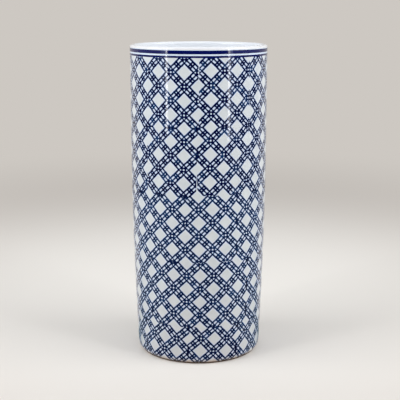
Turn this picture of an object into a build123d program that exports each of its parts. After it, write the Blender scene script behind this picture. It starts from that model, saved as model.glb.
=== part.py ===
from build123d import *
import math
import os

# Porcelain umbrella stand: a tall open cylinder that draws in a little towards its foot.
# It is fired in one piece, so its sub-parts are what the potter and the decorator put together:
# three pieces of clay, luted to each other, and two painted rings under the lip.
# Millimetres. The origin is the centre of the footprint, +Z is up and the front faces -Y.
# Every solid is a section, x for radius and y for height, turned about the vertical axis.

# Overall size of the glazed clay
HEIGHT = 458.0
MOUTH_DIAMETER = 200.0
WALL = 7.0

# Draw of the wall: below this height its straight side follows one long arc inwards
DRAW_TOP = 320.0
DRAW_RADIUS = 6100.0

# Heel: the rounding from the drawn side to the wall's lower edge
HEEL_HEIGHT = 7.0
HEEL_WIDTH = 4.0

# Foot ring: a bare flange that the wall stands on, with a collar that carries the floor
FOOT_FLANGE = 2.0  # height of the bare edge below the wall
FOOT_SETBACK = 0.5  # flange inside the wall's lower edge
FOOT_WIDTH = 11.0
RECESS = 8.0  # hollow under the floor, from the ground up

# Floor of the well
FLOOR = 9.0

# Painted rings, measured down from the lip
PAINT = 0.15  # thickness of the fired paint
PAINT_GAP = 0.05  # clearance between the rings and the clay, a film of glaze on the real stand
LIP_TO_BAND = 4.7
BAND_HEIGHT = 5.0
BAND_TO_LINE = 2.3
LINE_HEIGHT = 2.8

# Worked out from the sizes above
mouth_radius = MOUTH_DIAMETER / 2
bore_radius = mouth_radius - WALL
lip_radius = WALL / 2  # the lip is a full round
lip_centre = HEIGHT - lip_radius
arc_centre = mouth_radius - DRAW_RADIUS
heel_top = FOOT_FLANGE + HEEL_HEIGHT


def radius_at(height, straight_radius):
    """Radius, in the drawn stretch, of the face of the wall that is straight_radius above it."""
    arc_radius = straight_radius - arc_centre
    return arc_centre + math.sqrt(arc_radius**2 - (DRAW_TOP - height) ** 2)


def drawn_side(foot, top, straight_radius):
    """Part of the long arc between two heights of the drawn stretch, from the lower one up."""
    heights = (foot, (foot + top) / 2, top)
    return ThreePointArc(*[(radius_at(height, straight_radius), height) for height in heights])


def section(side, *corners):
    """Closed section: one curved side, then straight lines through the corners and back to its start."""
    straight = Polyline(side @ 1, *corners, side @ 0)
    return make_face([side, *straight.edges()])


def turn(face):
    """Section turned about the vertical axis into a solid."""
    return revolve(Plane.XZ * face, axis=Axis.Z)


def heel():
    """Rounding of the wall's lower edge, tangent to the drawn side."""
    drawn = drawn_side(heel_top, DRAW_TOP, mouth_radius)
    start = drawn @ 0
    return TangentArc(start, (start.X - HEEL_WIDTH, FOOT_FLANGE), tangent=-(drawn % 0))


def wall():
    """Clay wall with its drawn foot, rounded heel and rounded lip."""
    outside = drawn_side(heel_top, DRAW_TOP, mouth_radius)
    inside = drawn_side(FOOT_FLANGE, DRAW_TOP, bore_radius)
    lower_edge = heel()
    outer_lip = (mouth_radius, lip_centre)
    inner_lip = (bore_radius, lip_centre)
    lip = ThreePointArc(outer_lip, (mouth_radius - lip_radius, HEIGHT), inner_lip)
    outline = [lower_edge, outside, Line(outside @ 1, outer_lip), lip, Line(inner_lip, inside @ 1), inside]
    return turn(make_face([*outline, Line(inside @ 0, lower_edge @ 1)]))


def foot_ring():
    """Bare ring under the wall: its flange shows as a thin edge, its collar fits inside the wall."""
    flange_radius = (heel() @ 1).X - FOOT_SETBACK
    inner_radius = flange_radius - FOOT_WIDTH
    collar = drawn_side(FOOT_FLANGE, RECESS, bore_radius)
    upper = [(inner_radius, RECESS), (inner_radius, 0)]
    return turn(section(collar, *upper, (flange_radius, 0), (flange_radius, FOOT_FLANGE)))


def floor_slab():
    """Floor of the well: it rests on the collar and fills the bore."""
    top = RECESS + FLOOR
    return turn(section(drawn_side(RECESS, top, bore_radius), (0, top), (0, RECESS)))


def painted_ring(top, height):
    """Ring of cobalt paint round the straight part of the wall."""
    inner_radius = mouth_radius + PAINT_GAP
    ring = Pos(inner_radius, top) * Rectangle(PAINT, height, align=(Align.MIN, Align.MAX))
    return turn(ring)


band_top = HEIGHT - LIP_TO_BAND
line_top = band_top - BAND_HEIGHT - BAND_TO_LINE
solids = {
    "wall": wall(),
    "foot_ring": foot_ring(),
    "floor_slab": floor_slab(),
    "rim_band": painted_ring(band_top, BAND_HEIGHT),
    "rim_line": painted_ring(line_top, LINE_HEIGHT),
}

os.makedirs("parts", exist_ok=True)
for name, solid in solids.items():
    export_step(solid, f"parts/{name}.step")
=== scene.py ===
"""Umbrella stand of blue-and-white porcelain: a drawn cylinder with a banded rim and a printed lattice.

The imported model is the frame. The turned surfaces follow its sizes, and the sheets of the printed lattice
lie on the wall in five courses of eight, as a decorator lays transfers. Lengths are in metres.
"""
import logging
import math
from dataclasses import dataclass, field
from enum import Enum
from typing import ClassVar

import bpy
import numpy as np
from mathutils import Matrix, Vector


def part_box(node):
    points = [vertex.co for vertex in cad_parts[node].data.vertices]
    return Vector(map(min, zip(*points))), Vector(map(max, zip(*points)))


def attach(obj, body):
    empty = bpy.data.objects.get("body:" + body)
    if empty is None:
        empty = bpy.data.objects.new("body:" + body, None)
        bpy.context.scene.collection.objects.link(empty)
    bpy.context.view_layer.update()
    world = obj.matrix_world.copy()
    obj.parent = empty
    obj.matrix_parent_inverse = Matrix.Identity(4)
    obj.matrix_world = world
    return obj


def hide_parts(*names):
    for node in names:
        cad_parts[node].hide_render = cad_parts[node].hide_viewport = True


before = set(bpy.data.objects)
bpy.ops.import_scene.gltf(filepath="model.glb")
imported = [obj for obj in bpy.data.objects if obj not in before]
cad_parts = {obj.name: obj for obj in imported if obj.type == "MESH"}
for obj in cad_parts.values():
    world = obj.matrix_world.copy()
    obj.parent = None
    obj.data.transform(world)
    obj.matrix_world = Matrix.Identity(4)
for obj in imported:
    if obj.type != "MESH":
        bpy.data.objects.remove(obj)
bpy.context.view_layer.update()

MM = 0.001
LOG = logging.getLogger("umbrella_stand")

Material = bpy.types.Material
Piece = bpy.types.Object
Socket = bpy.types.NodeSocket
Tree = bpy.types.NodeTree

# A Mix node has sockets for every kind of data: these are the numbers of the ones that mix colours
SHARE, UNDER, OVER, MIXED = 0, 6, 7, 2


class Slot(Enum):
    """Material slots of the record."""

    PORCELAIN = "glazed_porcelain"
    CLAY = "bare_clay"
    COBALT = "cobalt_decoration"


def linear(hex_colour: str) -> tuple[float, float, float, float]:
    """Turn an sRGB colour into the linear one that a shader socket takes, by the sRGB standard's curve.

    Args:
        hex_colour: colour as "#RRGGBB".

    Returns:
        Linear red, green and blue, with an alpha of 1.
    """
    srgb = np.array([int(hex_colour[place : place + 2], 16) for place in (1, 3, 5)]) / 255
    value = np.where(srgb <= 0.04045, srgb / 12.92, ((srgb + 0.055) / 1.055) ** 2.4)
    return (*value.tolist(), 1.0)


def add(tree: Tree, kind: str, links: dict | None = None, **settings: object) -> bpy.types.Node:
    """Add a node, set its properties and feed its inputs.

    Args:
        tree: node tree that takes the node.
        kind: Blender's name for the type of node.
        links: for an input's name or number, the socket that feeds it or the value that it holds.
        settings: the node's own properties.

    Returns:
        The new node.
    """
    node = tree.nodes.new(kind)
    for name, value in settings.items():
        setattr(node, name, value)
    for name, value in (links or {}).items():
        if isinstance(value, Socket):
            tree.links.new(value, node.inputs[name])
        else:
            node.inputs[name].default_value = value
    return node


def new_material(name: str) -> tuple[Material, Tree]:
    """Make a material with an empty node tree.

    Args:
        name: the finish's name.

    Returns:
        The material and its node tree.
    """
    material = bpy.data.materials.new(name)
    material.use_nodes = True
    material.node_tree.nodes.clear()
    return material, material.node_tree


@dataclass(frozen=True)
class Glaze:
    """Clear feldspar glaze: a smooth glassy skin that mirrors the room, with the slow ripple of a melt."""

    roughness: float = 0.06
    ior: float = 1.5
    ripple_width: float = 16 * MM
    ripple_detail: float = 1.0
    ripple_depth: float = 0.014 * MM

    def cover(self, tree: Tree, place: Socket, colour: Socket) -> None:
        """Finish a material with the glaze over a colour.

        Args:
            tree: the material's nodes.
            place: Object coordinates.
            colour: colour of the body and the ink under the glaze.
        """
        waves = {"Vector": place, "Scale": 1 / self.ripple_width, "Detail": self.ripple_detail}
        ripple = add(tree, "ShaderNodeTexNoise", waves)
        bump = add(tree, "ShaderNodeBump", {"Height": ripple.outputs[0], "Distance": self.ripple_depth})
        shader = add(
            tree,
            "ShaderNodeBsdfPrincipled",
            {"Base Color": colour, "Roughness": self.roughness, "IOR": self.ior, "Normal": bump.outputs[0]},
        )
        add(tree, "ShaderNodeOutputMaterial", {"Surface": shader.outputs[0]})


@dataclass(frozen=True)
class WhitePorcelain:
    """Fired white porcelain under clear glaze: cool white, faintly clouded, with a rare iron speck.

    Attributes:
        bled_reach: how far blue bled from the painted rings.
        speck_core: share of a speck's radius that is fully dark.
        toast_and_shade_height: how far above the ground the wall is toasted and darkened, partly as painted
            shade in the gap under the foot.
        toast_and_shade_full: share of that height where the toast and the painted shade are full.
    """

    glaze: Glaze = Glaze()
    white: str = "#EFF3F9"
    cloud: str = "#E8EDF4"
    speck: str = "#6E6252"
    # Toasted brown at the lowest edge, darkened further as painted shade for the gap under the foot
    toast_and_shade: str = "#54473C"
    bled: str = "#D6E9FF"
    bled_reach: float = 0.9 * MM
    cloud_width: float = 35 * MM
    cloud_detail: float = 3.0
    speck_spacing: float = 22 * MM
    speck_radius: float = 0.35 * MM
    speck_core: float = 0.4
    toast_and_shade_height: float = 2.4 * MM
    toast_and_shade_full: float = 0.7

    def body(self, tree: Tree, place: Socket) -> Socket:
        """Colour of the glazed body, with its clouds and specks.

        Args:
            tree: the material's nodes.
            place: Object coordinates.

        Returns:
            The colour socket.
        """
        mist = {"Vector": place, "Scale": 1 / self.cloud_width, "Detail": self.cloud_detail}
        clouds = add(tree, "ShaderNodeTexNoise", mist)
        white = add(
            tree,
            "ShaderNodeMix",
            {SHARE: clouds.outputs[0], UNDER: linear(self.white), OVER: linear(self.cloud)},
            data_type="RGBA",
        )
        cells = add(tree, "ShaderNodeTexVoronoi", {"Vector": place, "Scale": 1 / self.speck_spacing})
        radius = self.speck_radius / self.speck_spacing
        specks = add(
            tree,
            "ShaderNodeMapRange",
            {"Value": cells.outputs["Distance"], "From Min": radius, "From Max": radius * self.speck_core},
            interpolation_type="SMOOTHSTEP",
        )
        mixed = add(
            tree,
            "ShaderNodeMix",
            {SHARE: specks.outputs[0], UNDER: white.outputs[MIXED], OVER: linear(self.speck)},
            data_type="RGBA",
        )
        return mixed.outputs[MIXED]

    def bled_zone(self, tree: Tree, place: Socket) -> Socket:
        """Share of blue that bled from the painted rings: outside, from just above the band to the line.

        Args:
            tree: the material's nodes.
            place: Object coordinates.

        Returns:
            The share's socket.
        """
        low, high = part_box("rim_line")[1].z - self.bled_reach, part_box("rim_band")[1].z + self.bled_reach
        height = add(tree, "ShaderNodeSeparateXYZ", {0: place}).outputs[2]
        zone = {0: height, 1: (low + high) / 2, 2: (high - low) / 2}
        between = add(tree, "ShaderNodeMath", zone, operation="COMPARE").outputs[0]
        flat = add(tree, "ShaderNodeVectorMath", {0: place, 1: (1.0, 1.0, 0.0)}, operation="MULTIPLY")
        radius = add(tree, "ShaderNodeVectorMath", {0: flat.outputs[0]}, operation="LENGTH").outputs["Value"]
        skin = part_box("wall")[1].x - self.bled_reach
        outside = add(tree, "ShaderNodeMath", {0: radius, 1: skin}, operation="GREATER_THAN").outputs[0]
        return add(tree, "ShaderNodeMath", {0: between, 1: outside}, operation="MULTIPLY").outputs[0]

    def material(self) -> Material:
        """Glazed porcelain, blue beside the painted rings and toasted brown at its lowest edge.

        That brown is also painted shade, darkened for the gap under the foot.

        Returns:
            The material.
        """
        material, tree = new_material("glazed_porcelain")
        place = add(tree, "ShaderNodeTexCoord").outputs["Object"]
        height = add(tree, "ShaderNodeSeparateXYZ", {0: place}).outputs[2]
        body = add(
            tree,
            "ShaderNodeMix",
            {SHARE: self.bled_zone(tree, place), UNDER: self.body(tree, place), OVER: linear(self.bled)},
            data_type="RGBA",
        )
        # Toasted brown and painted shade over the lowest few millimetres of the wall
        full_height = self.toast_and_shade_height * self.toast_and_shade_full
        toast_and_shade = add(
            tree,
            "ShaderNodeMapRange",
            {"Value": height, "From Min": self.toast_and_shade_height, "From Max": full_height},
            interpolation_type="SMOOTHSTEP",
        )
        colour = add(
            tree,
            "ShaderNodeMix",
            {SHARE: toast_and_shade.outputs[0], UNDER: body.outputs[MIXED], OVER: linear(self.toast_and_shade)},
            data_type="RGBA",
        )
        self.glaze.cover(tree, place, colour.outputs[MIXED])
        return material


@dataclass(frozen=True)
class Lattice:
    """The repeat of the print: a square trellis of three-line straps, knotted halfway, dotted at crossings.

    A strap runs along each diagonal of the repeat. The distance from the nearest strap's middle, and from
    the nearest strap of the other direction, place everything in it. All sizes but the repeat are in
    spacings.

    Attributes:
        repeat: width and height of the repeat.
        strap: from a strap's middle to the middle of its outer lines.
        line: width of the outer lines.
        middle_line: width of the middle line.
        window_start: from a crossing to the near end of the white windows between the lines.
        window_end: from a crossing to their far end.
        window_rounding: rounding of their corners, in widths of a line.
        heart_radius: radius of the white dot in the middle of a crossing.
        dot_radius: radius of the four dots round it.
        dot_ring: from either strap's middle to those four.
        knot_dot_radius: radius of the dots in a knot.
        edge: how soft an edge of the ink is.
        fringe: how far the ink bled blue.
        haze: how far it bled faintly.
    """

    # Between one strap and the next, in spacings
    HALFWAY: ClassVar[float] = 0.5

    repeat: float = 39.1 * MM
    strap: float = 0.176
    line: float = 0.08
    middle_line: float = 0.068
    window_start: float = 0.203
    window_end: float = 0.394
    window_rounding: float = 0.6
    heart_radius: float = 0.052
    dot_radius: float = 0.04
    dot_ring: float = 0.113
    knot_dot_radius: float = 0.033
    edge: float = 0.012
    fringe: float = 0.034
    haze: float = 0.08

    @property
    def spacing(self) -> float:
        """Distance between the middles of two parallel straps."""
        return self.repeat / math.sqrt(2)

    def white_shapes(self, tree: Tree, near: Socket, far: Socket) -> Socket:
        """Signed distance from the white: the least of the open diamond's, the dots' and the windows'.

        Args:
            tree: nodes of the repeat.
            near: distance from the nearest strap's middle.
            far: distance from the middle of the nearest strap of the other direction.

        Returns:
            The distance's socket, below 0 inside the white.
        """
        strap_edge = self.strap + self.line / 2
        diamond = add(tree, "ShaderNodeMath", {0: strap_edge, 1: near}, operation="SUBTRACT")
        shapes = [diamond.outputs[0]]
        channel_start, channel_end = self.middle_line / 2, self.strap - self.line / 2
        channel = (channel_start + channel_end) / 2
        spot = add(tree, "ShaderNodeCombineXYZ", {0: near, 1: far}).outputs[0]
        dots = (
            ((0.0, 0.0, 0.0), self.heart_radius),
            ((self.dot_ring, self.dot_ring, 0.0), self.dot_radius),
            ((channel, self.HALFWAY, 0.0), self.knot_dot_radius),
        )
        for middle, radius in dots:
            gap = add(tree, "ShaderNodeVectorMath", {0: spot, 1: middle}, operation="DISTANCE")
            reached = {0: gap.outputs["Value"], 1: radius}
            shapes.append(add(tree, "ShaderNodeMath", reached, operation="SUBTRACT").outputs[0])
        sides = []
        window = (
            (near, channel, (channel_end - channel_start) / 2),
            (far, (self.window_start + self.window_end) / 2, (self.window_end - self.window_start) / 2),
        )
        for along, middle, half in window:
            offset = add(tree, "ShaderNodeMath", {0: along, 1: middle}, operation="SUBTRACT").outputs[0]
            size = add(tree, "ShaderNodeMath", {0: offset}, operation="ABSOLUTE").outputs[0]
            sides.append(add(tree, "ShaderNodeMath", {0: size, 1: half}, operation="SUBTRACT").outputs[0])
        rounded = {0: sides[0], 1: sides[1], 2: self.line * self.window_rounding}
        shapes.append(add(tree, "ShaderNodeMath", rounded, operation="SMOOTH_MAX").outputs[0])
        white = shapes[0]
        for shape in shapes[1:]:
            white = add(tree, "ShaderNodeMath", {0: white, 1: shape}, operation="MINIMUM").outputs[0]
        return white

    def group(self) -> Tree:
        """Node group that turns a place on a sheet into the shares of ink there.

        Its input holds the place across and down, in repeats, and how far inside the sheet's edge that is.

        Returns:
            The node group.
        """
        tree = bpy.data.node_groups.new("lattice_repeat", "ShaderNodeTree")
        tree.interface.new_socket("Place", in_out="INPUT", socket_type="NodeSocketVector")
        tree.interface.new_socket("Wobble", in_out="INPUT", socket_type="NodeSocketFloat")
        for share in ("Ink", "Fringe", "Haze"):
            tree.interface.new_socket(share, in_out="OUTPUT", socket_type="NodeSocketFloat")
        given = add(tree, "NodeGroupInput").outputs
        across, down, reach = add(tree, "ShaderNodeSeparateXYZ", {0: given["Place"]}).outputs
        straps = []
        for operation in ("ADD", "SUBTRACT"):
            diagonal = add(tree, "ShaderNodeMath", {0: across, 1: down}, operation=operation).outputs[0]
            folded = {0: diagonal, 1: self.HALFWAY}
            straps.append(add(tree, "ShaderNodeMath", folded, operation="PINGPONG").outputs[0])
        near, far = (
            add(tree, "ShaderNodeMath", {0: straps[0], 1: straps[1]}, operation=operation).outputs[0]
            for operation in ("MINIMUM", "MAXIMUM")
        )
        white = self.white_shapes(tree, near, far)
        wobbled = add(tree, "ShaderNodeMath", {0: white, 1: given["Wobble"]}, operation="ADD").outputs[0]
        inside, *shares = (
            add(
                tree,
                "ShaderNodeMapRange",
                {"Value": value, "From Min": -start, "From Max": self.edge},
                interpolation_type="SMOOTHSTEP",
            ).outputs[0]
            for value, start in (
                (reach, self.edge),
                (wobbled, self.edge),
                (wobbled, self.fringe),
                (wobbled, self.haze),
            )
        )
        ink, fringe, haze = (
            add(tree, "ShaderNodeMath", {0: share, 1: inside}, operation="MULTIPLY").outputs[0]
            for share in shares
        )
        add(tree, "NodeGroupOutput", {"Ink": ink, "Fringe": fringe, "Haze": haze})
        return tree


@dataclass(frozen=True)
class CobaltTransfer:
    """Cobalt transfer print under the glaze: navy lines that bled blue, nearly black where it is heavy.

    The white between its lines is a little greyer and more clouded than the rim's, as in the photograph. The
    greyer white is painted shade: a darker copy of the pot's white that keeps the outer side darker than the
    lip and the inside.

    Attributes:
        heavy_swell: how much further the heaviest ink spreads past its edge.
        noise_low: the least that the noise gives, apart from rare places.
        noise_high: the most that it gives.
        thin_start: noise at which the ink starts to thin.
        thin_full: noise at which it is thinnest.
    """

    lattice: Lattice
    # A greyer copy of the pot's white, painted shade on the outer side
    porcelain: WhitePorcelain = WhitePorcelain(white="#E2EDF4", cloud="#CEDAE4", cloud_width=12 * MM)
    ink: str = "#122A52"
    heavy_ink: str = "#020838"
    thin_ink: str = "#183B6A"
    doubled_ink: str = "#020834"
    fringe: str = "#8EB9FC"
    haze: str = "#E2EDFE"
    heavy_swell: float = 0.08 * MM
    wobble_width: float = 2.4 * MM
    wobble_detail: float = 2.0
    wobble_depth: float = 0.35 * MM
    noise_low: float = 0.2
    noise_high: float = 0.8
    density_width: float = 14 * MM
    density_detail: float = 4.0
    thin_start: float = 0.5
    thin_full: float = 0.75

    def spread(self, tree: Tree, place: Socket, inking: Socket) -> Socket:
        """How far the ink spreads past its edge, in spacings: further where it is heavy, with a wobble.

        Args:
            tree: the material's nodes.
            place: Object coordinates.
            inking: how heavily the sheet was printed.

        Returns:
            The distance's socket.
        """
        shaky = {"Vector": place, "Scale": 1 / self.wobble_width, "Detail": self.wobble_detail}
        rough = add(tree, "ShaderNodeTexNoise", shaky)
        depth = self.wobble_depth / self.lattice.spacing
        wobble = add(
            tree,
            "ShaderNodeMapRange",
            {
                "Value": rough.outputs[0],
                "From Min": self.noise_low,
                "From Max": self.noise_high,
                "To Min": -depth,
                "To Max": depth,
            },
        )
        swell = {0: inking, 1: self.heavy_swell / self.lattice.spacing, 2: wobble.outputs[0]}
        return add(tree, "ShaderNodeMath", swell, operation="MULTIPLY_ADD").outputs[0]

    def printed(self, tree: Tree, spread: Socket) -> dict[str, Socket]:
        """Shares of ink, fringe and haze from all the prints that can show at a place.

        Where prints lap, their ink adds up, and the blue is that of the one that bled further.

        Args:
            tree: the material's nodes.
            spread: how far the ink spreads past its edge, in spacings.

        Returns:
            The shares' sockets, by their names in the lattice's node group.
        """
        group = self.lattice.group()
        joins = {"Ink": "ADD", "Fringe": "MAXIMUM", "Haze": "MAXIMUM"}
        shares = dict.fromkeys(joins, 0.0)
        for name in Sheets.PRINTS:
            spot = add(tree, "ShaderNodeAttribute", attribute_name=name).outputs["Vector"]
            drawn = add(tree, "ShaderNodeGroup", {"Place": spot, "Wobble": spread}, node_tree=group).outputs
            for share, operation in joins.items():
                both = {0: shares[share], 1: drawn[share]}
                shares[share] = add(tree, "ShaderNodeMath", both, operation=operation).outputs[0]
        return shares

    def ink_colour(self, tree: Tree, place: Socket, inking: Socket, total: Socket) -> Socket:
        """Colour of the ink: darker where it is heavy, paler where it thinned, darkest where it is doubled.

        Args:
            tree: the material's nodes.
            place: Object coordinates.
            inking: how heavily the sheet was printed.
            total: share of ink, past 1 where prints lap.

        Returns:
            The colour socket.
        """
        uneven = {"Vector": place, "Scale": 1 / self.density_width, "Detail": self.density_detail}
        density = add(tree, "ShaderNodeTexNoise", uneven)
        thinned = add(
            tree,
            "ShaderNodeMapRange",
            {"Value": density.outputs[0], "From Min": self.thin_start, "From Max": self.thin_full},
            interpolation_type="SMOOTHSTEP",
        )
        doubled = add(tree, "ShaderNodeMath", {0: total, 1: 1.0}, operation="SUBTRACT", use_clamp=True)
        colour = linear(self.ink)
        for share, layer in (
            (inking, self.heavy_ink),
            (thinned.outputs[0], self.thin_ink),
            (doubled.outputs[0], self.doubled_ink),
        ):
            laid = {SHARE: share, UNDER: colour, OVER: linear(layer)}
            colour = add(tree, "ShaderNodeMix", laid, data_type="RGBA").outputs[MIXED]
        return colour

    def material(self) -> Material:
        """Glazed porcelain with the print of the sheet itself and of the neighbours that lap onto it.

        Returns:
            The material.
        """
        material, tree = new_material("cobalt_transfer_print")
        place = add(tree, "ShaderNodeTexCoord").outputs["Object"]
        inking = add(tree, "ShaderNodeAttribute", attribute_name="inking").outputs["Fac"]
        shares = self.printed(tree, self.spread(tree, place, inking))
        layers = {
            "Haze": linear(self.haze),
            "Fringe": linear(self.fringe),
            "Ink": self.ink_colour(tree, place, inking, shares["Ink"]),
        }
        colour = self.porcelain.body(tree, place)
        for share, layer in layers.items():
            laid = {SHARE: shares[share], UNDER: colour, OVER: layer}
            colour = add(tree, "ShaderNodeMix", laid, data_type="RGBA").outputs[MIXED]
        self.porcelain.glaze.cover(tree, place, colour)
        return material


@dataclass(frozen=True)
class CobaltBand:
    """Cobalt laid on with a loaded brush on the wheel: nearly even, with faint streaks round the pot.

    Attributes:
        streak_start: noise at which a streak starts to show.
        streak_full: noise at which it is palest.
    """

    glaze: Glaze = Glaze()
    ink: str = "#030D54"
    streak: str = "#0D2068"
    streak_height: float = 0.7 * MM
    streak_length: float = 60 * MM
    streak_detail: float = 2.0
    streak_start: float = 0.45
    streak_full: float = 0.8

    def material(self) -> Material:
        """Glazed cobalt whose noise is stretched along the brush's way.

        Returns:
            The material.
        """
        material, tree = new_material("cobalt_banding")
        place = add(tree, "ShaderNodeTexCoord").outputs["Object"]
        stretch = (1 / self.streak_length, 1 / self.streak_length, 1 / self.streak_height)
        drawn = add(tree, "ShaderNodeMapping", {"Vector": place, "Scale": stretch})
        brushed = {"Vector": drawn.outputs[0], "Scale": 1.0, "Detail": self.streak_detail}
        streaks = add(tree, "ShaderNodeTexNoise", brushed)
        shown = {"Value": streaks.outputs[0], "From Min": self.streak_start, "From Max": self.streak_full}
        share = add(tree, "ShaderNodeMapRange", shown)
        colour = add(
            tree,
            "ShaderNodeMix",
            {SHARE: share.outputs[0], UNDER: linear(self.ink), OVER: linear(self.streak)},
            data_type="RGBA",
        )
        self.glaze.cover(tree, place, colour.outputs[MIXED])
        return material


@dataclass(frozen=True)
class ToastedAndShadedClay:
    """Bare porcelain clay at the foot: dry and sandy, toasted brown where the flame reached it.

    Both its colours are also darkened as painted shade, for the gap under the foot.

    Its grit is drawn a little coarser than fine sand, so that it shows from close by.
    """

    # Toasted brown and pale grit, both darkened as painted shade for the gap under the foot
    toast_and_shade: str = "#382C23"
    pale: str = "#6C5B49"
    grit_width: float = 0.9 * MM
    grit_detail: float = 3.0
    grit_depth: float = 0.08 * MM
    roughness: float = 0.85

    def material(self) -> Material:
        """Dry clay with grit in its colour and its surface.

        Returns:
            The material.
        """
        material, tree = new_material("toasted_and_shaded_clay")
        place = add(tree, "ShaderNodeTexCoord").outputs["Object"]
        sand = {"Vector": place, "Scale": 1 / self.grit_width, "Detail": self.grit_detail}
        grit = add(tree, "ShaderNodeTexNoise", sand)
        colour = add(
            tree,
            "ShaderNodeMix",
            {SHARE: grit.outputs[0], UNDER: linear(self.toast_and_shade), OVER: linear(self.pale)},
            data_type="RGBA",
        )
        bump = add(tree, "ShaderNodeBump", {"Height": grit.outputs[0], "Distance": self.grit_depth})
        shader = add(
            tree,
            "ShaderNodeBsdfPrincipled",
            {"Base Color": colour.outputs[MIXED], "Roughness": self.roughness, "Normal": bump.outputs[0]},
        )
        add(tree, "ShaderNodeOutputMaterial", {"Surface": shader.outputs[0]})
        return material


def grid_faces(rows: int, columns: int, ring_rows: bool = False, ring_columns: bool = False) -> np.ndarray:
    """Quads of a grid of points that are numbered row by row.

    Args:
        rows: points down.
        columns: points across.
        ring_rows: join the last row to the first.
        ring_columns: join the last column to the first.

    Returns:
        Point numbers, four to a face.
    """
    down = np.arange(rows if ring_rows else rows - 1)[:, None]
    across = np.arange(columns if ring_columns else columns - 1)[None, :]
    beside = (across + 1) % columns
    upper, lower = down * columns, ((down + 1) % rows) * columns
    corners = [upper + across, upper + beside, lower + beside, lower + across]
    return np.stack(np.broadcast_arrays(*corners), axis=-1).reshape(-1, 4)


def facing_out(points: np.ndarray, faces: np.ndarray) -> np.ndarray:
    """Turn all faces of a closed surface round if its signed volume says that they point inwards.

    Args:
        points: one point a row.
        faces: four point numbers a row.

    Returns:
        The faces, pointing outwards.
    """
    first, second, third, fourth = (points[corner] for corner in faces.T)
    volume = np.einsum("ij,ij->", first, np.cross(second, third) + np.cross(third, fourth))
    return faces if volume > 0 else faces[:, ::-1]


def around(radius: np.ndarray, angle: np.ndarray, height: np.ndarray) -> np.ndarray:
    """Points round the axis: to the right by radius times sine, to the front by radius times cosine."""
    return np.stack(np.broadcast_arrays(radius * np.sin(angle), -radius * np.cos(angle), height), axis=-1)


def make_piece(name: str, points: np.ndarray, faces: np.ndarray, material: Material) -> Piece:
    """Put a surface of quads into a smooth-shaded object at the origin.

    Args:
        name: the piece's name.
        points: one point a row.
        faces: four point numbers a row.
        material: finish of the whole piece.

    Returns:
        The new object.
    """
    mesh = bpy.data.meshes.new(name)
    mesh.vertices.add(len(points))
    mesh.vertices.foreach_set("co", points.astype(np.float32).ravel())
    mesh.loops.add(faces.size)
    mesh.loops.foreach_set("vertex_index", faces.astype(np.int32).ravel())
    mesh.polygons.add(len(faces))
    mesh.polygons.foreach_set("loop_start", np.arange(0, faces.size, faces.shape[1], dtype=np.int32))
    mesh.update(calc_edges=True)
    mesh.materials.append(material)
    mesh.shade_smooth()
    piece = bpy.data.objects.new(name, mesh)
    bpy.context.scene.collection.objects.link(piece)
    return piece


def report(piece: Piece, slot: Slot) -> None:
    """Log a piece with its number of faces and its slot."""
    LOG.info("%s: %d faces, %s", piece.name, len(piece.data.polygons), slot.value)


def settle(piece: Piece, slot: Slot, *nodes: str) -> None:
    """Let a piece ride on the stand, log it with its slot and hide the CAD nodes that it stands for.

    Args:
        piece: the new piece.
        slot: material slot of the record.
        nodes: names of the CAD nodes that it replaces.
    """
    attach(piece, "root")
    if nodes:
        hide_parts(*nodes)
    report(piece, slot)


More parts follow.
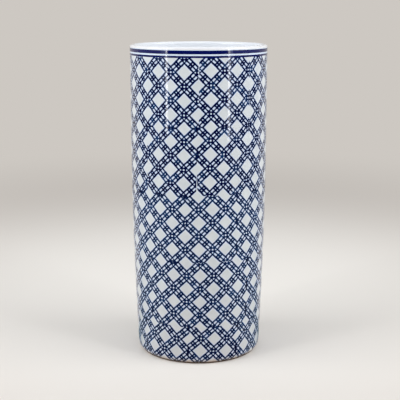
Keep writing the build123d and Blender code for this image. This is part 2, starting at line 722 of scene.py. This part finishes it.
@dataclass
class Pot:
    """The clay: a thin wall that runs straight down, then draws in along one long arc to a rounded heel.

    Attributes:
        wall: thickness of the wall.
        draw_top: height below which the side draws in.
        draw_radius: radius of the long arc.
        heel_height: height of the rounding at the wall's lower edge.
        heel_width: how far that rounding turns in.
        foot_width: width of the ring that the stand rests on.
        foot_round: radius of its worn lower edges.
        segments: steps round the pot.
        side_steps: points down the drawn side.
        arc_steps: steps in the heel, and in each half of the lip.
        edge_points: points on a worn edge.
        sharp_angle: least angle of an edge that stays crisp.
        mouth_radius: radius of the outer side above the draw.
        height: height of the lip.
        foot: height of the wall's lower edge.
        lip_radius: radius of the lip's rounding.
        lip_centre: height at which that rounding springs.
        outside: radius and height of each point of the outer side, from the lip down.
        drops: distance of each of those points along the side from the top of the lip.
    """

    porcelain: Material
    clay: Material
    wall: float = 7 * MM
    draw_top: float = 320 * MM
    draw_radius: float = 6100 * MM
    heel_height: float = 7 * MM
    heel_width: float = 4 * MM
    foot_width: float = 11 * MM
    foot_round: float = 0.6 * MM
    segments: int = 288
    side_steps: int = 48
    arc_steps: int = 14
    edge_points: int = 6
    sharp_angle: float = math.radians(40)
    mouth_radius: float = field(init=False)
    height: float = field(init=False)
    foot: float = field(init=False)
    lip_radius: float = field(init=False)
    lip_centre: float = field(init=False)
    outside: np.ndarray = field(init=False)
    drops: np.ndarray = field(init=False)

    def __post_init__(self) -> None:
        """Take the overall sizes from the frame, and follow the outer side."""
        low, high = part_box("wall")
        self.mouth_radius = high.x
        self.height = high.z
        self.foot = low.z
        self.lip_radius = self.wall / 2
        self.lip_centre = self.height - self.lip_radius
        self.outside = self.outer_side()
        steps = np.hypot(*np.diff(self.outside, axis=0).T)
        self.drops = self.lip_radius + np.concatenate([[0.0], np.cumsum(steps)])

    def drawn_radius(self, height: np.ndarray, straight: float) -> np.ndarray:
        """Follow a side down: straight above the draw, then along an arc, with one centre for both sides.

        Args:
            height: heights above the ground.
            straight: radius of the side above the draw.

        Returns:
            Its radius at each height.
        """
        centre = self.mouth_radius - self.draw_radius
        below = np.clip(self.draw_top - height, 0.0, None)
        return centre + np.sqrt((straight - centre) ** 2 - below**2)

    def outer_side(self) -> np.ndarray:
        """Outer side from the lip's spring down to the foot, with the heel as an arc tangent to the draw.

        Returns:
            Radius and height, one point a row.
        """
        heel_top = self.foot + self.heel_height
        heights = np.concatenate([[self.lip_centre], np.linspace(self.draw_top, heel_top, self.side_steps)])
        side = np.stack([self.drawn_radius(heights, self.mouth_radius), heights], axis=1)
        along = side[-1] - side[-2]
        along /= np.hypot(*along)
        inward = np.array([along[1], -along[0]])
        chord = np.array([-self.heel_width, -self.heel_height])
        radius = chord @ chord / (2 * chord @ inward)
        turn = 2 * math.atan2(chord @ inward, chord @ along)
        angles = np.linspace(0.0, turn, self.arc_steps + 1)[1:, None]
        heel = side[-1] + radius * (np.sin(angles) * along + (1 - np.cos(angles)) * inward)
        return np.concatenate([side, heel])

    def at_drop(self, drop: np.ndarray) -> tuple[np.ndarray, np.ndarray, np.ndarray]:
        """Follow the outer side down from the lip.

        Args:
            drop: distance along the side, counted from the top of the lip.

        Returns:
            Radius, height, and the outward normal as its radial and vertical parts.
        """
        slope = np.gradient(self.outside, self.drops, axis=0)
        radius, height, out, up = (
            np.interp(drop, self.drops, column)
            for column in (self.outside[:, 0], self.outside[:, 1], -slope[:, 1], slope[:, 0])
        )
        normal = np.stack([out, up], axis=-1)
        return radius, height, normal / np.linalg.norm(normal, axis=-1, keepdims=True)

    def turned(self, name: str, section: np.ndarray, material: Material) -> Piece:
        """Turn a closed section about the vertical axis, every point of it round a full ring.

        Args:
            name: the piece's name.
            section: radius and height, one point a row.
            material: finish of the whole piece.

        Returns:
            The new piece.
        """
        angle = np.linspace(0.0, 2 * np.pi, self.segments, endpoint=False)
        points = around(section[:, :1], angle[None, :], section[:, 1:]).reshape(-1, 3)
        faces = grid_faces(len(section), self.segments, ring_rows=True, ring_columns=True)
        piece = make_piece(name, points, facing_out(points, faces), material)
        piece.data.set_sharp_from_angle(angle=self.sharp_angle)
        return piece

    def build(self) -> None:
        """Turn the wall and the foot ring, and glaze the floor."""
        spring = np.linspace(0.0, np.pi, self.arc_steps * 2 + 1)[1:-1]
        half_round = self.lip_radius * np.stack([np.cos(spring), np.sin(spring)], axis=1)
        lip = np.array([self.mouth_radius - self.lip_radius, self.lip_centre]) + half_round
        depths = np.concatenate([[self.lip_centre], np.linspace(self.draw_top, self.foot, self.side_steps)])
        inside = np.stack([self.drawn_radius(depths, self.mouth_radius - self.wall), depths], axis=1)
        wall = self.turned("wall_glazed", np.concatenate([self.outside[::-1], lip, inside]), self.porcelain)
        settle(wall, Slot.PORCELAIN, "wall")
        settle(self.foot_ring(), Slot.CLAY, "foot_ring")
        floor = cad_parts["floor_slab"]
        floor.data.materials.clear()
        floor.data.materials.append(self.porcelain)
        report(floor, Slot.PORCELAIN)

    def foot_ring(self) -> Piece:
        """Bare ring with its lower edges worn round: a flange under the wall and a collar inside it.

        Returns:
            The ring.
        """
        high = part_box("foot_ring")[1]
        outer = high.x
        inner = outer - self.foot_width
        bore = float(self.drawn_radius(np.array(self.foot), self.mouth_radius - self.wall))
        quarter = np.linspace(0.0, np.pi / 2, self.edge_points)
        edge = self.foot_round
        outer_edge = np.stack([outer - edge + edge * np.cos(quarter), edge - edge * np.sin(quarter)], axis=1)
        inner_edge = np.stack([inner + edge - edge * np.sin(quarter), edge - edge * np.cos(quarter)], axis=1)
        top = np.array([[inner, high.z], [bore, high.z], [bore, self.foot], [outer, self.foot]])
        return self.turned("foot_bare", np.concatenate([top, outer_edge, inner_edge]), self.clay)


@dataclass
class RimPaint:
    """The two painted rings under the lip, each a film with softly rounded edges.

    Attributes:
        seat: how far the film's back is sunk into the wall.
        face_inset: from a film's ends to the rows that keep its face flat, in thicknesses of the film.
        edge_points: points on a rounded edge.
    """

    pot: Pot
    cobalt: Material
    seat: float = 0.05 * MM
    face_inset: float = 2.0
    edge_points: int = 6

    def build(self) -> None:
        """Lay the wide band and the thin line where the frame has them.

        Two rows of points just inside the rounded edges keep the face between them flat in its shading.
        """
        for node in ("rim_band", "rim_line"):
            low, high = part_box(node)
            film = high.x - self.pot.mouth_radius
            inset = self.face_inset * film
            bend = np.linspace(0.0, np.pi / 2, self.edge_points)
            upper = np.stack([film * np.sin(bend), high.z - film * (1 - np.cos(bend))], axis=1)
            lower = np.stack([film * np.cos(bend), low.z + film * (1 - np.sin(bend))], axis=1)
            face = np.array([[film, high.z - inset], [film, low.z + inset]])
            back = np.array([[-self.seat, low.z], [-self.seat, high.z]])
            section = np.concatenate([upper, face, lower, back]) + [self.pot.mouth_radius, 0.0]
            settle(self.pot.turned(f"{node}_paint", section, self.cobalt), Slot.COBALT, node)


@dataclass(frozen=True)
class Course:
    """One ring of transfer sheets, and how the decorator laid it.

    Attributes:
        drop: how far its top is below the top of the lip.
        seam_degrees: where its first seam is, counted from the front towards the right.
        inking: how heavily it was printed, from 0 to 1.
        phase: its start in the repeat, in repeats.
        laid: for a sheet, the millimetres that it slipped to the right and down, and the degrees that it
            turned. A sheet that isn't listed slipped at random.
        gaps: for the seam on a sheet's left, the millimetres between the two prints at its top and at its
            foot. At a seam that isn't listed the prints lap as far as they reach.
    """

    drop: float
    seam_degrees: float
    inking: float
    phase: float = 0.0
    laid: dict[int, tuple[float, float, float]] = field(default_factory=dict)
    gaps: dict[int, tuple[float, float]] = field(default_factory=dict)


@dataclass
class Sheets:
    """The lattice as it was laid: eight sheets to a course, each two repeats wide and two and a half high.

    The pot narrows and the sheets don't, so lower down each print laps further onto its neighbours. Every
    sheet here ends at its seams, and carries where it lies in its own print, in the print beside it and in
    the one above.

    Attributes:
        to_foot: from the end of the lowest course to the wall's lower edge.
        half_width: half the width of a print, in repeats.
        free_lap: how far two prints may lap where no gap is given.
        length: height of a print, in repeats.
        film: how far a sheet stands proud of the wall.
        seat: how far its back is sunk into the wall.
        slip: the most that a sheet slips at random.
        tilt: the most that it turns at random.
        slips: how far each sheet slipped across and down, in repeats, and how far it turned.
        pitch: angle of a sheet.
        tops: how far each course starts below the lip.
        ends: how far each course ends below the lip.
        seams: angle of each course's first seam.
        phases: each course's start in the repeat.
        gaps: gap at the top and at the foot of each seam, in repeats.
    """

    PRINTS: ClassVar[tuple[str, ...]] = ("own", "beside", "above")
    LETTERS: ClassVar[str] = "abcdefgh"
    # Start and height, in the baked square, of a sheet's outer face, its inner face and its edge
    BAKE_BANDS: ClassVar[tuple[tuple[float, float], ...]] = ((0.0, 0.94), (0.95, 0.02), (0.98, 0.02))

    pot: Pot
    lattice: Lattice
    material: Material
    courses: tuple[Course, ...] = (
        Course(
            drop=13.0 * MM,
            seam_degrees=0.3,
            inking=1.0,
            phase=0.5,
            laid={6: (-1.0, 2.0, 1.0), 7: (-0.5, 1.5, 0.5), 0: (-3.0, -0.5, 0.0), 1: (0.5, -0.5, 0.0)},
            gaps={0: (1.0, -0.5)},
        ),
        Course(
            drop=109.5 * MM,
            seam_degrees=-1.4,
            inking=1.0,
            laid={6: (0.5, 3.5, 1.0), 7: (1.5, 0.5, 1.0), 0: (-1.0, -1.0, 1.0), 1: (0.5, 1.0, 3.0)},
            gaps={0: (-3.0, 2.0)},
        ),
        Course(
            drop=205.5 * MM,
            seam_degrees=-11.6,
            inking=0.4,
            laid={7: (1.0, 0.5, 1.0), 0: (1.0, 0.0, -0.5), 1: (-1.0, 1.0, -1.5)},
        ),
        Course(
            drop=302.75 * MM,
            seam_degrees=0.3,
            inking=0.5,
            laid={6: (-1.0, 1.0, 0.5), 7: (0.5, 0.0, 1.0), 0: (2.5, 0.5, 0.5), 1: (2.0, 0.0, -1.0)},
        ),
        Course(
            drop=399.75 * MM,
            seam_degrees=-10.1,
            inking=0.7,
            laid={7: (-0.5, -1.0, 3.0), 0: (1.0, -1.0, 3.5), 1: (1.5, -1.5, 2.5)},
        ),
    )
    to_foot: float = 0.8 * MM
    sheets_round: int = 8
    half_width: float = 0.985
    free_lap: float = 20 * MM
    length: float = 2.5
    film: float = 0.1 * MM
    seat: float = 0.05 * MM
    columns: int = 24
    rows: int = 56
    slip: float = 1.2 * MM
    tilt: float = math.radians(0.5)
    seed: int = 7
    slips: np.ndarray = field(init=False)
    pitch: float = field(init=False)
    tops: np.ndarray = field(init=False)
    ends: np.ndarray = field(init=False)
    seams: np.ndarray = field(init=False)
    phases: np.ndarray = field(init=False)
    gaps: np.ndarray = field(init=False)

    def __post_init__(self) -> None:
        """Draw how each sheet slipped as it was laid, and place the courses, the seams and their gaps."""
        spread = np.array([self.slip / self.lattice.repeat, self.slip / self.lattice.repeat, self.tilt])
        shape = (len(self.courses), self.sheets_round, 3)
        self.slips = np.random.default_rng(self.seed).uniform(-1.0, 1.0, shape) * spread
        unit = np.array([MM / self.lattice.repeat, MM / self.lattice.repeat, math.radians(1.0)])
        for course, row in zip(self.courses, self.slips):
            for sheet, laid in course.laid.items():
                row[sheet] = np.array(laid) * unit
        self.pitch = 2 * np.pi / self.sheets_round
        self.tops = np.array([course.drop for course in self.courses])
        self.ends = np.append(self.tops[1:], self.pot.drops[-1] - self.to_foot)
        self.seams = np.radians([course.seam_degrees for course in self.courses])
        self.phases = np.array([course.phase for course in self.courses])
        self.gaps = np.full((len(self.courses), self.sheets_round, 2), -self.free_lap / self.lattice.repeat)
        for course, row in zip(self.courses, self.gaps):
            for seam, gap in course.gaps.items():
                row[seam] = np.array(gap) * MM / self.lattice.repeat

    def middle(self, course: int, sheet: int | np.ndarray) -> float | np.ndarray:
        """Angle of a sheet's middle, half a sheet on from the seam on its left."""
        return self.seams[course] + (sheet + 0.5) * self.pitch

    def in_print(
        self, course: int, sheet: np.ndarray, angle: np.ndarray, drop: np.ndarray, own: bool = False
    ) -> np.ndarray:
        """Place points in the print of a sheet that may have slipped.

        Args:
            course: number of the sheet's course, from the top.
            sheet: number of the sheet in its course, for each point.
            angle: where each point is round the pot.
            drop: how far each point is below the lip.
            own: the points are on the sheet itself, so that its print ends only where a seam gapes.

        Returns:
            Repeats across and down the pattern, and repeats inside the print's edge, three to a point.
        """
        sheet = sheet % self.sheets_round
        turn = (angle - self.middle(course, sheet) + np.pi) % (2 * np.pi) - np.pi
        radius = self.pot.at_drop(drop)[0]
        across = turn * radius / self.lattice.repeat
        depth = (drop - self.tops[course]) / (self.ends[course] - self.tops[course])
        half = self.pitch / 2 * radius / self.lattice.repeat
        inside = np.full(angle.shape, half.max())
        for side, seam in ((1, sheet), (-1, (sheet + 1) % self.sheets_round)):
            top, foot = np.moveaxis(self.gaps[course][seam], -1, 0)
            inside = np.minimum(inside, half + side * across - (top + (foot - top) * depth) / 2)
        down = (drop - self.tops[course]) / self.lattice.repeat
        slip_across, slip_down, tilt = np.moveaxis(self.slips[course][sheet], -1, 0)
        print_across = across - slip_across + tilt * (down - self.length / 2)
        print_down = down - slip_down - tilt * across
        if not own:
            inside = np.minimum(inside, self.half_width - np.abs(print_across))
            inside = np.minimum(inside, np.minimum(print_down, self.length - print_down))
        return np.stack([print_across, print_down + self.phases[course], inside], axis=-1)

    def prints(self, course: int, sheet: int, angle: np.ndarray, drop: np.ndarray) -> dict[str, np.ndarray]:
        """Place every corner of a sheet's faces in the three prints that can show there.

        Args:
            course: number of the course.
            sheet: number of the sheet.
            angle: angle of each corner, a face to a row.
            drop: distance below the lip of each corner, a face to a row.

        Returns:
            For each of PRINTS, three numbers to a corner.
        """
        face_angle = angle.mean(axis=1, keepdims=True)
        own = np.full(angle.shape, sheet)
        beside = own + np.where(face_angle > self.middle(course, sheet), 1, -1)
        outside = np.full((*angle.shape, 3), -1.0)  # a whole repeat past the print's edge, where no ink is
        placed = {
            "own": self.in_print(course, own, angle, drop, own=True),
            "beside": self.in_print(course, beside, angle, drop),
            "above": outside,
        }
        if course > 0:
            over = np.floor((face_angle - self.seams[course - 1]) / self.pitch).astype(int)
            placed["above"] = self.in_print(course - 1, np.broadcast_to(over, angle.shape), angle, drop)
        return placed

    def lay(self, course: int, sheet: int) -> Piece:
        """Make one sheet: a film on a grid of angles and distances below the lip, closed round its edges.

        Args:
            course: number of the course.
            sheet: number of the sheet.

        Returns:
            The sheet.
        """
        start = self.seams[course] + sheet * self.pitch
        angles = np.linspace(start, start + self.pitch, self.columns + 1)
        drops = np.linspace(self.tops[course], self.ends[course], self.rows + 1)
        radius, height, normal = (part[:, None] for part in self.pot.at_drop(drops))
        out, up = normal[..., 0], normal[..., 1]
        skins = [
            around(radius + lift * out, angles, height + lift * up).reshape(-1, 3)
            for lift in (self.film, -self.seat)
        ]
        points = np.concatenate(skins)
        outer = grid_faces(self.rows + 1, self.columns + 1)
        numbers = np.arange(len(skins[0])).reshape(self.rows + 1, self.columns + 1)
        rim = np.concatenate([numbers[0, :-1], numbers[:-1, -1], numbers[-1, :0:-1], numbers[:0:-1, 0]])
        after = np.roll(rim, -1)
        edges = np.stack([after, rim, rim + len(skins[0]), after + len(skins[0])], axis=1)
        faces = facing_out(points, np.concatenate([outer, outer[:, ::-1] + len(skins[0]), edges]))
        piece = make_piece(f"transfer_{course + 1}{self.LETTERS[sheet]}", points, faces, self.material)
        outward = around(out, angles, up).reshape(-1, 3)
        piece.data.normals_split_custom_set_from_vertices(np.concatenate([outward, -outward]))
        angle = np.tile(np.broadcast_to(angles, numbers.shape).ravel(), 2)[faces]
        drop = np.tile(np.broadcast_to(drops[:, None], numbers.shape).ravel(), 2)[faces]
        for name, placed in self.prints(course, sheet, angle, drop).items():
            attribute = piece.data.attributes.new(name, "FLOAT_VECTOR", "CORNER")
            attribute.data.foreach_set("vector", placed.astype(np.float32).ravel())
        inking = piece.data.attributes.new("inking", "FLOAT", "FACE")
        inking.data.foreach_set("value", np.full(len(faces), self.courses[course].inking, dtype=np.float32))
        self.map_for_bake(piece, len(outer), len(edges))
        return piece

    def map_for_bake(self, piece: Piece, skin: int, edges: int) -> None:
        """Give a sheet a map: its outer face over nearly all of the square, and the rest in two thin strips.

        Args:
            piece: the sheet.
            skin: faces of its outer skin, and of its inner one.
            edges: faces round its edge.
        """
        corner = np.array([[0, 0], [1, 0], [1, 1], [0, 1]])
        row, column = np.divmod(np.arange(skin), self.columns)
        grid = (np.stack([column, row], axis=1)[:, None] + corner) / [self.columns, self.rows]
        strip = (np.stack([np.arange(edges), np.zeros(edges)], axis=1)[:, None] + corner) / [edges, 1]
        bands = zip((grid, grid, strip), self.BAKE_BANDS)
        places = np.concatenate([part * [1, height] + [0, start] for part, (start, height) in bands])
        layer = piece.data.uv_layers.new(name="OFBake")
        layer.data.foreach_set("uv", places.astype(np.float32).ravel())

    def build(self) -> None:
        """Lay every sheet of every course."""
        for course in range(len(self.courses)):
            for sheet in range(self.sheets_round):
                settle(self.lay(course, sheet), Slot.COBALT)


@dataclass(frozen=True)
class Lamp:
    """A rectangular soft lamp: its place, the point it faces, its width and height, its power and tint."""

    name: str
    place: tuple[float, float, float]
    aim: tuple[float, float, float]
    size: tuple[float, float]
    watts: float
    tint: str = "#FFFFFF"

    def hang(self) -> None:
        """Hang the lamp upright, its face turned from its place to its aim."""
        light = bpy.data.lights.new(self.name, "AREA")
        light.shape = "RECTANGLE"
        light.size, light.size_y = self.size
        light.energy = self.watts
        light.color = linear(self.tint)[:3]
        right, back, up = (end - start for start, end in zip(self.place, self.aim))
        lamp = bpy.data.objects.new(self.name, light)
        lamp.location = self.place
        lamp.rotation_euler = (math.atan2(math.hypot(right, back), -up), 0.0, math.atan2(-right, back))
        bpy.context.scene.collection.objects.link(lamp)


@dataclass
class Studio:
    """Pale paper floor in a light tent, with a soft lamp, a strip lamp and its outward glow on either side.

    Attributes:
        paper_painted_light: the paper behind the stand, paler there as a painted pool of light.
        paper: the paper elsewhere.
        paper_shade: the paper as it lights the stand.
        shade_close: the same, close to the stand, darker as painted shade for the stand's shadow round its
            foot.
        shade_start: distance from the axis at which paper_shade starts.
        shade_end: distance at which it is full.
        painted_light_back: how far behind the stand the painted pool of light is palest.
        painted_light_full: distance from there up to which it is palest.
        painted_light_end: distance at which it is plain paper.
        backdrop_start: how far behind the stand the floor starts to turn into the backdrop.
        backdrop_full: how far behind the stand it has turned.
        reach: radius of the floor.
        floor_hole: radius of the hole in its middle, under the stand.
        floor_first: radius of its first ring.
        roof_start: angle above the horizon at which the tent's wall ends.
        roof_full: angle at which its roof starts.
        card_left: angle, from the front, of the black card's left end.
        card_right: angle of its right end.
        card_back: angle at which the grey cards beside it end.
        card_height: height of the cards above the floor.
        card_start: radius at which the cards start.
        near_end: radius at which a grey card is at its darkest.
        grey_end: radius at which the grey cards end.
        black_end: radius at which the black card ends.
    """

    lamps: tuple[Lamp, ...] = (
        Lamp("soft_left", (-1.65, -0.62, 1.25), (0.0, 0.0, 0.25), (1.7, 1.5), 25.5),
        Lamp("soft_right", (1.65, -0.62, 1.25), (0.0, 0.0, 0.25), (1.7, 1.5), 25.5),
        Lamp("strip_left", (-1.022, -0.804, 0.685), (0.0, 0.0, 0.685), (0.066, 1.02), 1.8),
        Lamp("strip_right", (0.989, -0.853, 0.68), (0.0, 0.0, 0.68), (0.08, 1.05), 1.6),
        Lamp("glow_left", (-1.098, -0.696, 0.73), (0.0, 0.0, 0.73), (0.2, 0.93), 0.5, "#DCE8FF"),
        Lamp("glow_right", (1.046, -0.782, 0.68), (0.0, 0.0, 0.68), (0.1, 1.05), 0.53, "#DCE8FF"),
    )
    paper_painted_light: str = "#F2EFEA"
    paper: str = "#D4CEC8"
    paper_shade: str = "#C0AC97"
    shade_close: str = "#B08A6C"
    shade_start: float = 0.1
    shade_end: float = 0.5
    backdrop: str = "#CDC8C2"
    painted_light_back: float = 0.34
    painted_light_full: float = 0.15
    painted_light_end: float = 1.05
    backdrop_start: float = 0.6
    backdrop_full: float = 2.0
    reach: float = 400.0
    floor_hole: float = 1 * MM
    floor_first: float = 0.1
    floor_rings: int = 24
    floor_segments: int = 96
    roof_start: float = math.radians(20)
    roof_full: float = math.radians(36)
    roof_strength: float = 0.5
    wall_strength: float = 0.36
    black_card: str = "#141414"
    grey_card: str = "#475552"
    near_card: str = "#8FA3A5"
    card_left: float = math.radians(-53)
    card_right: float = math.radians(52)
    card_back: float = math.radians(118)
    card_height: float = 1 * MM
    card_start: float = 0.1
    near_end: float = 0.9
    grey_end: float = 8.7
    black_end: float = 60.0
    card_rings: int = 12
    card_segments: int = 48
    lens: float = 85.53
    camera_side: float = 2.0 * MM
    camera_back: float = 1.3998
    camera_height: float = 0.5177
    camera_pitch: float = math.radians(11.768)

    def seen(self, tree: Tree) -> Socket:
        """Share that is 1 for rays from the camera, a mirror or glass, and 0 for light that spreads.

        Args:
            tree: nodes of the material or the world.

        Returns:
            The share's socket.
        """
        path = add(tree, "ShaderNodeLightPath").outputs
        share = path["Is Camera Ray"]
        for ray in ("Is Glossy Ray", "Is Transmission Ray"):
            share = add(tree, "ShaderNodeMath", {0: share, 1: path[ray]}, operation="MAXIMUM").outputs[0]
        return share

    def paper_finish(self) -> Material:
        """Matt paper with a painted pool of light just behind the stand, that fades far off into the
        backdrop.

        It lights the stand as a darker and warmer sheet, most of all close by, so that the light from above
        outweighs what the floor throws up. The darker sheet close by is painted shade, for the stand's
        shadow round its foot.

        Returns:
            The material.
        """
        material, tree = new_material("paper_floor")
        place = add(tree, "ShaderNodeTexCoord").outputs["Object"]
        middle = (0.0, self.painted_light_back, 0.0)
        distance = add(tree, "ShaderNodeVectorMath", {0: place, 1: middle}, operation="DISTANCE")
        plain, faded = (
            add(
                tree,
                "ShaderNodeMapRange",
                {"Value": distance.outputs["Value"], "From Min": start, "From Max": full},
                interpolation_type="SMOOTHSTEP",
            ).outputs[0]
            for start, full in (
                (self.painted_light_full, self.painted_light_end),
                (self.backdrop_start - self.painted_light_back, self.backdrop_full - self.painted_light_back),
            )
        )
        # Painted pool of light on the paper just behind the stand
        paper = add(
            tree,
            "ShaderNodeMix",
            {SHARE: plain, UNDER: linear(self.paper_painted_light), OVER: linear(self.paper)},
            data_type="RGBA",
        )
        from_stand = add(tree, "ShaderNodeVectorMath", {0: place}, operation="LENGTH").outputs["Value"]
        ends = {"Value": from_stand, "From Min": self.shade_start, "From Max": self.shade_end}
        away = add(tree, "ShaderNodeMapRange", ends).outputs[0]
        shade = add(
            tree,
            "ShaderNodeMix",
            {SHARE: away, UNDER: linear(self.shade_close), OVER: linear(self.paper_shade)},
            data_type="RGBA",
        )
        seen = self.seen(tree)
        colour = add(
            tree,
            "ShaderNodeMix",
            {SHARE: seen, UNDER: shade.outputs[MIXED], OVER: paper.outputs[MIXED]},
            data_type="RGBA",
        )
        lit = add(tree, "ShaderNodeBsdfDiffuse", {"Color": colour.outputs[MIXED]})
        backdrop = add(tree, "ShaderNodeEmission", {"Color": linear(self.backdrop), "Strength": 1.0})
        share = add(tree, "ShaderNodeMath", {0: seen, 1: faded}, operation="MULTIPLY")
        both = {0: share.outputs[0], 1: lit.outputs[0], 2: backdrop.outputs[0]}
        shader = add(tree, "ShaderNodeMixShader", both)
        add(tree, "ShaderNodeOutputMaterial", {"Surface": shader.outputs[0]})
        return material

    def floor(self) -> None:
        """Lay the paper as a flat round sheet, its rings wider and wider from the stand out."""
        outer_rings = np.geomspace(self.floor_first, self.reach, self.floor_rings)
        rings = np.concatenate([[self.floor_hole], outer_rings])
        angle = np.linspace(0.0, 2 * np.pi, self.floor_segments, endpoint=False)
        points = around(rings[:, None], angle[None, :], np.zeros((len(rings), 1))).reshape(-1, 3)
        faces = grid_faces(len(rings), len(angle), ring_columns=True)[:, ::-1]
        make_piece("paper_floor", points, faces, self.paper_finish())

    def tent(self) -> None:
        """Light from a bright roof over dimmer walls, which look like one plain backdrop."""
        world = bpy.data.worlds.new("light_tent")
        bpy.context.scene.world = world
        world.use_nodes = True
        tree = world.node_tree
        tree.nodes.clear()
        way = add(tree, "ShaderNodeTexCoord").outputs["Generated"]
        up = add(tree, "ShaderNodeSeparateXYZ", {0: way}).outputs[2]
        strength = add(
            tree,
            "ShaderNodeMapRange",
            {
                "Value": up,
                "From Min": math.sin(self.roof_start),
                "From Max": math.sin(self.roof_full),
                "To Min": self.wall_strength,
                "To Max": self.roof_strength,
            },
            interpolation_type="SMOOTHSTEP",
        )
        colour = add(
            tree,
            "ShaderNodeMix",
            {SHARE: self.seen(tree), UNDER: strength.outputs[0], OVER: linear(self.backdrop)},
            data_type="RGBA",
        )
        light = add(tree, "ShaderNodeBackground", {"Color": colour.outputs[MIXED], "Strength": 1.0})
        add(tree, "ShaderNodeOutputWorld", {"Surface": light.outputs[0]})

    def card_finish(self, name: str, close: str, far: str) -> Material:
        """Matt card that turns from one shade to another with the distance from the stand.

        Args:
            name: the card's name.
            close: its shade close to the stand, as "#RRGGBB".
            far: its shade further off.

        Returns:
            The material.
        """
        material, tree = new_material(name)
        place = add(tree, "ShaderNodeTexCoord").outputs["Object"]
        distance = add(tree, "ShaderNodeVectorMath", {0: place}, operation="LENGTH").outputs["Value"]
        ends = {"Value": distance, "From Min": self.card_start, "From Max": self.near_end}
        share = add(tree, "ShaderNodeMapRange", ends).outputs[0]
        shades = {SHARE: share, UNDER: linear(close), OVER: linear(far)}
        colour = add(tree, "ShaderNodeMix", shades, data_type="RGBA").outputs[MIXED]
        shader = add(tree, "ShaderNodeBsdfDiffuse", {"Color": colour})
        add(tree, "ShaderNodeOutputMaterial", {"Surface": shader.outputs[0]})
        return material

    def cards(self) -> None:
        """Lay cards round the stand, black before it and grey beside it, that only its gloss can see.

        They keep the pale floor out of the glaze, so that the ink stays dark. The grey ones are paler near
        the stand.
        """
        black, grey, near = self.black_card, self.grey_card, self.near_card
        for name, close, far, reach, start, end in (
            ("black_card", black, black, self.black_end, self.card_left, self.card_right),
            ("grey_card_left", near, grey, self.grey_end, -self.card_back, self.card_left),
            ("grey_card_right", near, grey, self.grey_end, self.card_right, self.card_back),
        ):
            rings = np.geomspace(self.card_start, reach, self.card_rings)
            angle = np.linspace(start, end, self.card_segments)
            height = np.full((len(rings), 1), self.card_height)
            points = around(rings[:, None], angle[None, :], height).reshape(-1, 3)
            faces = grid_faces(len(rings), len(angle))[:, ::-1]
            card = make_piece(name, points, faces, self.card_finish(name, close, far))
            card.visible_camera = card.visible_diffuse = card.visible_shadow = False

    def camera(self) -> None:
        """Stand the camera where the rim, the sides and the base have the photograph's outline."""
        data = bpy.data.cameras.new("camera")
        data.lens = self.lens
        camera = bpy.data.objects.new("camera", data)
        camera.location = (self.camera_side, -self.camera_back, self.camera_height)
        camera.rotation_euler = (math.pi / 2 - self.camera_pitch, 0.0, 0.0)
        bpy.context.scene.collection.objects.link(camera)
        bpy.context.scene.camera = camera

    def build(self) -> None:
        """Set the floor, the light and the camera."""
        self.floor()
        self.tent()
        self.cards()
        for lamp in self.lamps:
            lamp.hang()
        self.camera()


def main() -> None:
    """Build the stand from its pot to its print, then the studio."""
    logging.basicConfig(level=logging.INFO, format="%(message)s")
    porcelain = WhitePorcelain()
    lattice = Lattice()
    pot = Pot(porcelain.material(), ToastedAndShadedClay().material())
    pot.build()
    RimPaint(pot, CobaltBand().material()).build()
    Sheets(pot, lattice, CobaltTransfer(lattice).material()).build()
    Studio().build()
    bpy.context.scene.view_settings.view_transform = "Standard"


if __name__ == "__main__":
    main()
